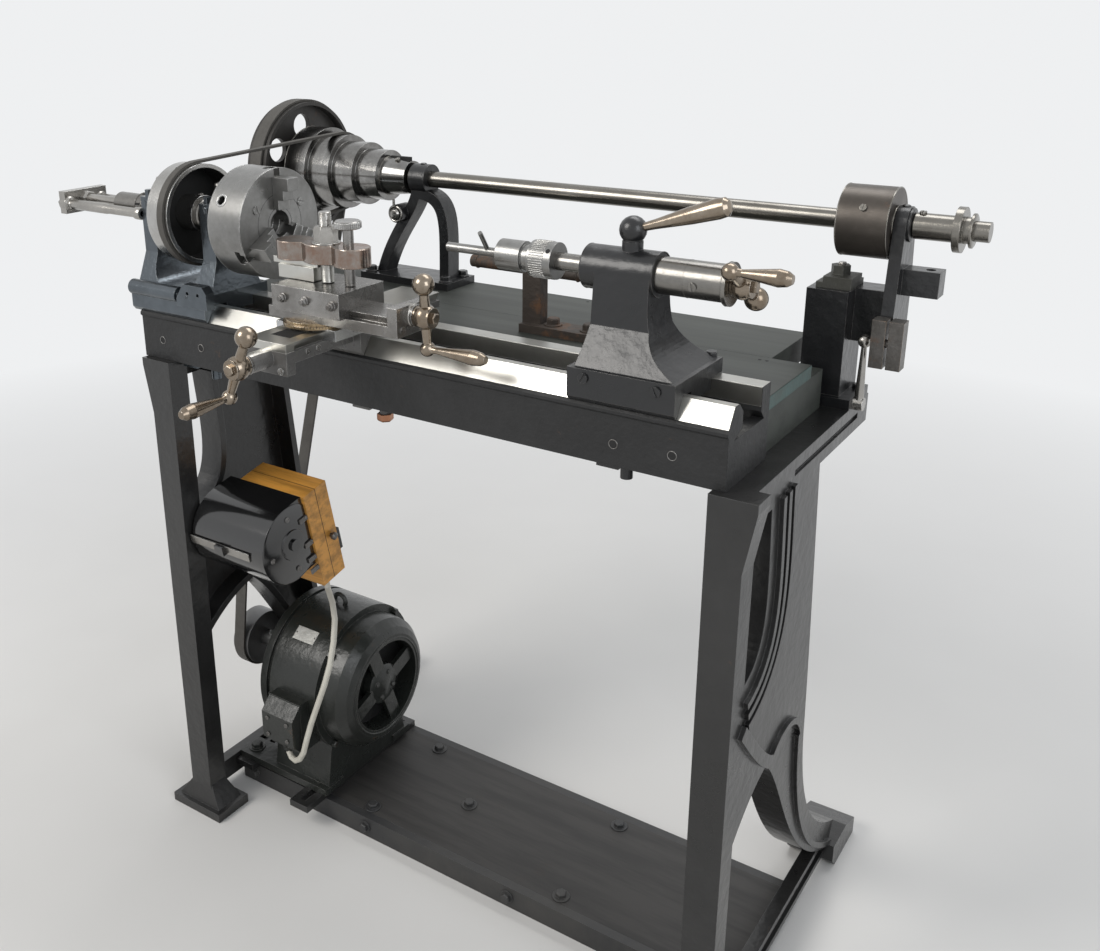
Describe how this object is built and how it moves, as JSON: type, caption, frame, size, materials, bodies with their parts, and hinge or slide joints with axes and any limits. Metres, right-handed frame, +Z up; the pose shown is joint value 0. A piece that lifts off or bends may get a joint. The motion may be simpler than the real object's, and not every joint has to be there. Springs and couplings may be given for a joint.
{
  "type": "metal-turning lathe on a cast-iron stand",
  "caption": "Small old metal-turning lathe on a cast-iron stand, belt driven from a rear countershaft and a motor below, with slide rest and tailstock.",
  "frame": {"origin": "middle of the machine's footprint, on the floor", "axes": "+X along the bed towards the tailstock, +Y towards the back, +Z up"},
  "size_m": [1.356, 0.8292, 1.1963],
  "materials": {
    "stand_iron": "glossy black-grey stove paint, worn",
    "bed_iron": "rough dark grey paint, bright scraped ways",
    "head_iron": "bluish bare cast iron, oily",
    "bright_steel": "turned steel with light tarnish",
    "chuck_steel": "ground steel with grey tarnish",
    "rest_steel": "planed steel, stained",
    "shaft_steel": "smooth bright shafting",
    "pulley_iron": "dull grey turned iron with rust spots",
    "drum_iron": "brown-black drum",
    "black_enamel": "glossy black enamel, chipped",
    "base_wood": "dark stained board",
    "base_iron": "black-grey painted bar",
    "table_wood": "grey-green painted boards, scratched",
    "block_wood": "orange pine, oiled, darker top",
    "motor_paint": "grey-green hammered paint",
    "switch_black": "glossy black bakelite",
    "belt_leather": "flat greyish belt",
    "rusty_iron": "brown rusty casting",
    "cable_white": "off-white cable sheath"
  },
  "bodies": {
    "stand": {"end_frame_left": "stand_iron", "end_frame_right": "stand_iron", "base_rail_front": "base_iron", "base_rail_rear": "base_iron", "base_board": "base_wood", "bed": "bed_iron", "table_board_front": "table_wood", "table_board_rear": "table_wood", "table_bearers": "table_wood", "headstock": "head_iron", "headstock_caps": "head_iron", "thrust_bracket": "bright_steel", "spindle_belt": "belt_leather", "shaft_bracket_left": "black_enamel", "shaft_column_right": "black_enamel", "column_cap": "chuck_steel", "clamp_plates": "chuck_steel", "rest_bracket": "rusty_iron", "motor_rails": "stand_iron", "motor_housing": "motor_paint", "terminal_box": "motor_paint", "motor_belt": "belt_leather", "switch_block": "block_wood", "switch_case": "switch_black", "switch_bracket": "stand_iron", "motor_cable": "cable_white"},
    "countershaft": {"countershaft": "shaft_steel", "cone_pulley": "pulley_iron", "belt_wheel": "pulley_iron", "drive_drum": "drum_iron", "shaft_collar": "bright_steel"},
    "spindle": {"spindle": "bright_steel", "belt_drum": "chuck_steel", "chuck_body": "chuck_steel"},
    "jaw_1": {"chuck_jaw_1": "chuck_steel"},
    "jaw_2": {"chuck_jaw_2": "chuck_steel"},
    "jaw_3": {"chuck_jaw_3": "chuck_steel"},
    "motor_rotor": {"motor_pulley": "pulley_iron"},
    "saddle": {"saddle": "rest_steel"},
    "cross_slide": {"cross_slide": "rest_steel"},
    "cross_crank": {"cross_crank": "bright_steel"},
    "swivel": {"swivel_disc": "rest_steel", "top_base": "rest_steel"},
    "top_slide": {"top_slide": "rest_steel", "tool_clamp": "rest_steel", "clamp_screw": "bright_steel"},
    "top_crank": {"top_crank": "bright_steel"},
    "tailstock": {"tailstock_body": "black_enamel", "tailstock_sleeve": "bright_steel"},
    "quill": {"quill": "bright_steel", "drill_chuck": "chuck_steel"},
    "tail_crank": {"tail_crank": "bright_steel"},
    "tail_lever": {"tail_lever": "bright_steel"},
    "shift_lever": {"shift_lever": "bright_steel"}
  },
  "joints": [
    {"name": "countershaft_turn", "type": "hinge", "parent": "stand", "child": "countershaft", "pos_m": [0.138, 0.23965, 1.079], "axis": [1, 0, 0], "continuous": true},
    {"name": "spindle_turn", "type": "hinge", "parent": "stand", "child": "spindle", "pos_m": [-0.392, -0.08835, 1.055], "axis": [1, 0, 0], "continuous": true},
    {"name": "motor_turn", "type": "hinge", "parent": "stand", "child": "motor_rotor", "pos_m": [-0.462, 0.04965, 0.228], "axis": [1, 0, 0], "continuous": true},
    {"name": "jaw_1_slide", "type": "slide", "parent": "spindle", "child": "jaw_1", "axis": [0, 0, 1], "range_m": [0, 0.01]},
    {"name": "jaw_2_slide", "type": "slide", "parent": "spindle", "child": "jaw_2", "axis": [0, -0.866, -0.5], "range_m": [0, 0.01]},
    {"name": "jaw_3_slide", "type": "slide", "parent": "spindle", "child": "jaw_3", "axis": [0, 0.866, -0.5], "range_m": [0, 0.01]},
    {"name": "saddle_slide", "type": "slide", "parent": "stand", "child": "saddle", "axis": [1, 0, 0], "range_m": [-0.015, 0.105]},
    {"name": "cross_slide_move", "type": "slide", "parent": "saddle", "child": "cross_slide", "axis": [0, 1, 0], "range_m": [-0.054, 0.02]},
    {"name": "cross_crank_turn", "type": "hinge", "parent": "saddle", "child": "cross_crank", "pos_m": [-0.06, -0.30035, 0.93], "axis": [0, 1, 0], "range_deg": [-4860, 1800]},
    {"name": "swivel_turn", "type": "hinge", "parent": "cross_slide", "child": "swivel", "pos_m": [-0.06, -0.18535, 0.96], "axis": [0, 0, -1], "range_deg": [-30, 30]},
    {"name": "top_slide_move", "type": "slide", "parent": "swivel", "child": "top_slide", "axis": [1, 0, 0], "range_m": [-0.03, 0.03]},
    {"name": "top_crank_turn", "type": "hinge", "parent": "swivel", "child": "top_crank", "pos_m": [0.098, -0.18535, 0.987], "axis": [1, 0, 0], "range_deg": [-2700, 2700]},
    {"name": "tailstock_slide", "type": "slide", "parent": "stand", "child": "tailstock", "axis": [1, 0, 0], "range_m": [-0.06, 0.06]},
    {"name": "quill_slide", "type": "slide", "parent": "tailstock", "child": "quill", "axis": [-1, 0, 0], "range_m": [0, 0.05]},
    {"name": "tail_crank_turn", "type": "hinge", "parent": "tailstock", "child": "tail_crank", "pos_m": [0.438, -0.08835, 1.055], "axis": [1, 0, 0], "range_deg": [0, 4500]},
    {"name": "tail_lever_swing", "type": "hinge", "parent": "tailstock", "child": "tail_lever", "pos_m": [0.35267, -0.08835, 1.1], "axis": [0, 0, 1], "range_deg": [0, 90]},
    {"name": "shift_lever_swing", "type": "hinge", "parent": "stand", "child": "shift_lever", "pos_m": [0.547, 0.20965, 0.838], "axis": [1, 0, 0], "range_deg": [0, 30]}
  ],
  "couplings": [
    {"joint": "spindle_turn", "follows": "countershaft_turn", "ratio": 0.82667},
    {"joint": "motor_turn", "follows": "countershaft_turn", "ratio": 2.26},
    {"joint": "jaw_2_slide", "follows": "jaw_1_slide", "ratio": 1},
    {"joint": "jaw_3_slide", "follows": "jaw_1_slide", "ratio": 1},
    {"joint": "cross_crank_turn", "follows": "cross_slide_move", "rad_per_m": 1570.8},
    {"joint": "top_crank_turn", "follows": "top_slide_move", "rad_per_m": 1570.8},
    {"joint": "tail_crank_turn", "follows": "quill_slide", "rad_per_m": 1570.8}
  ]
}
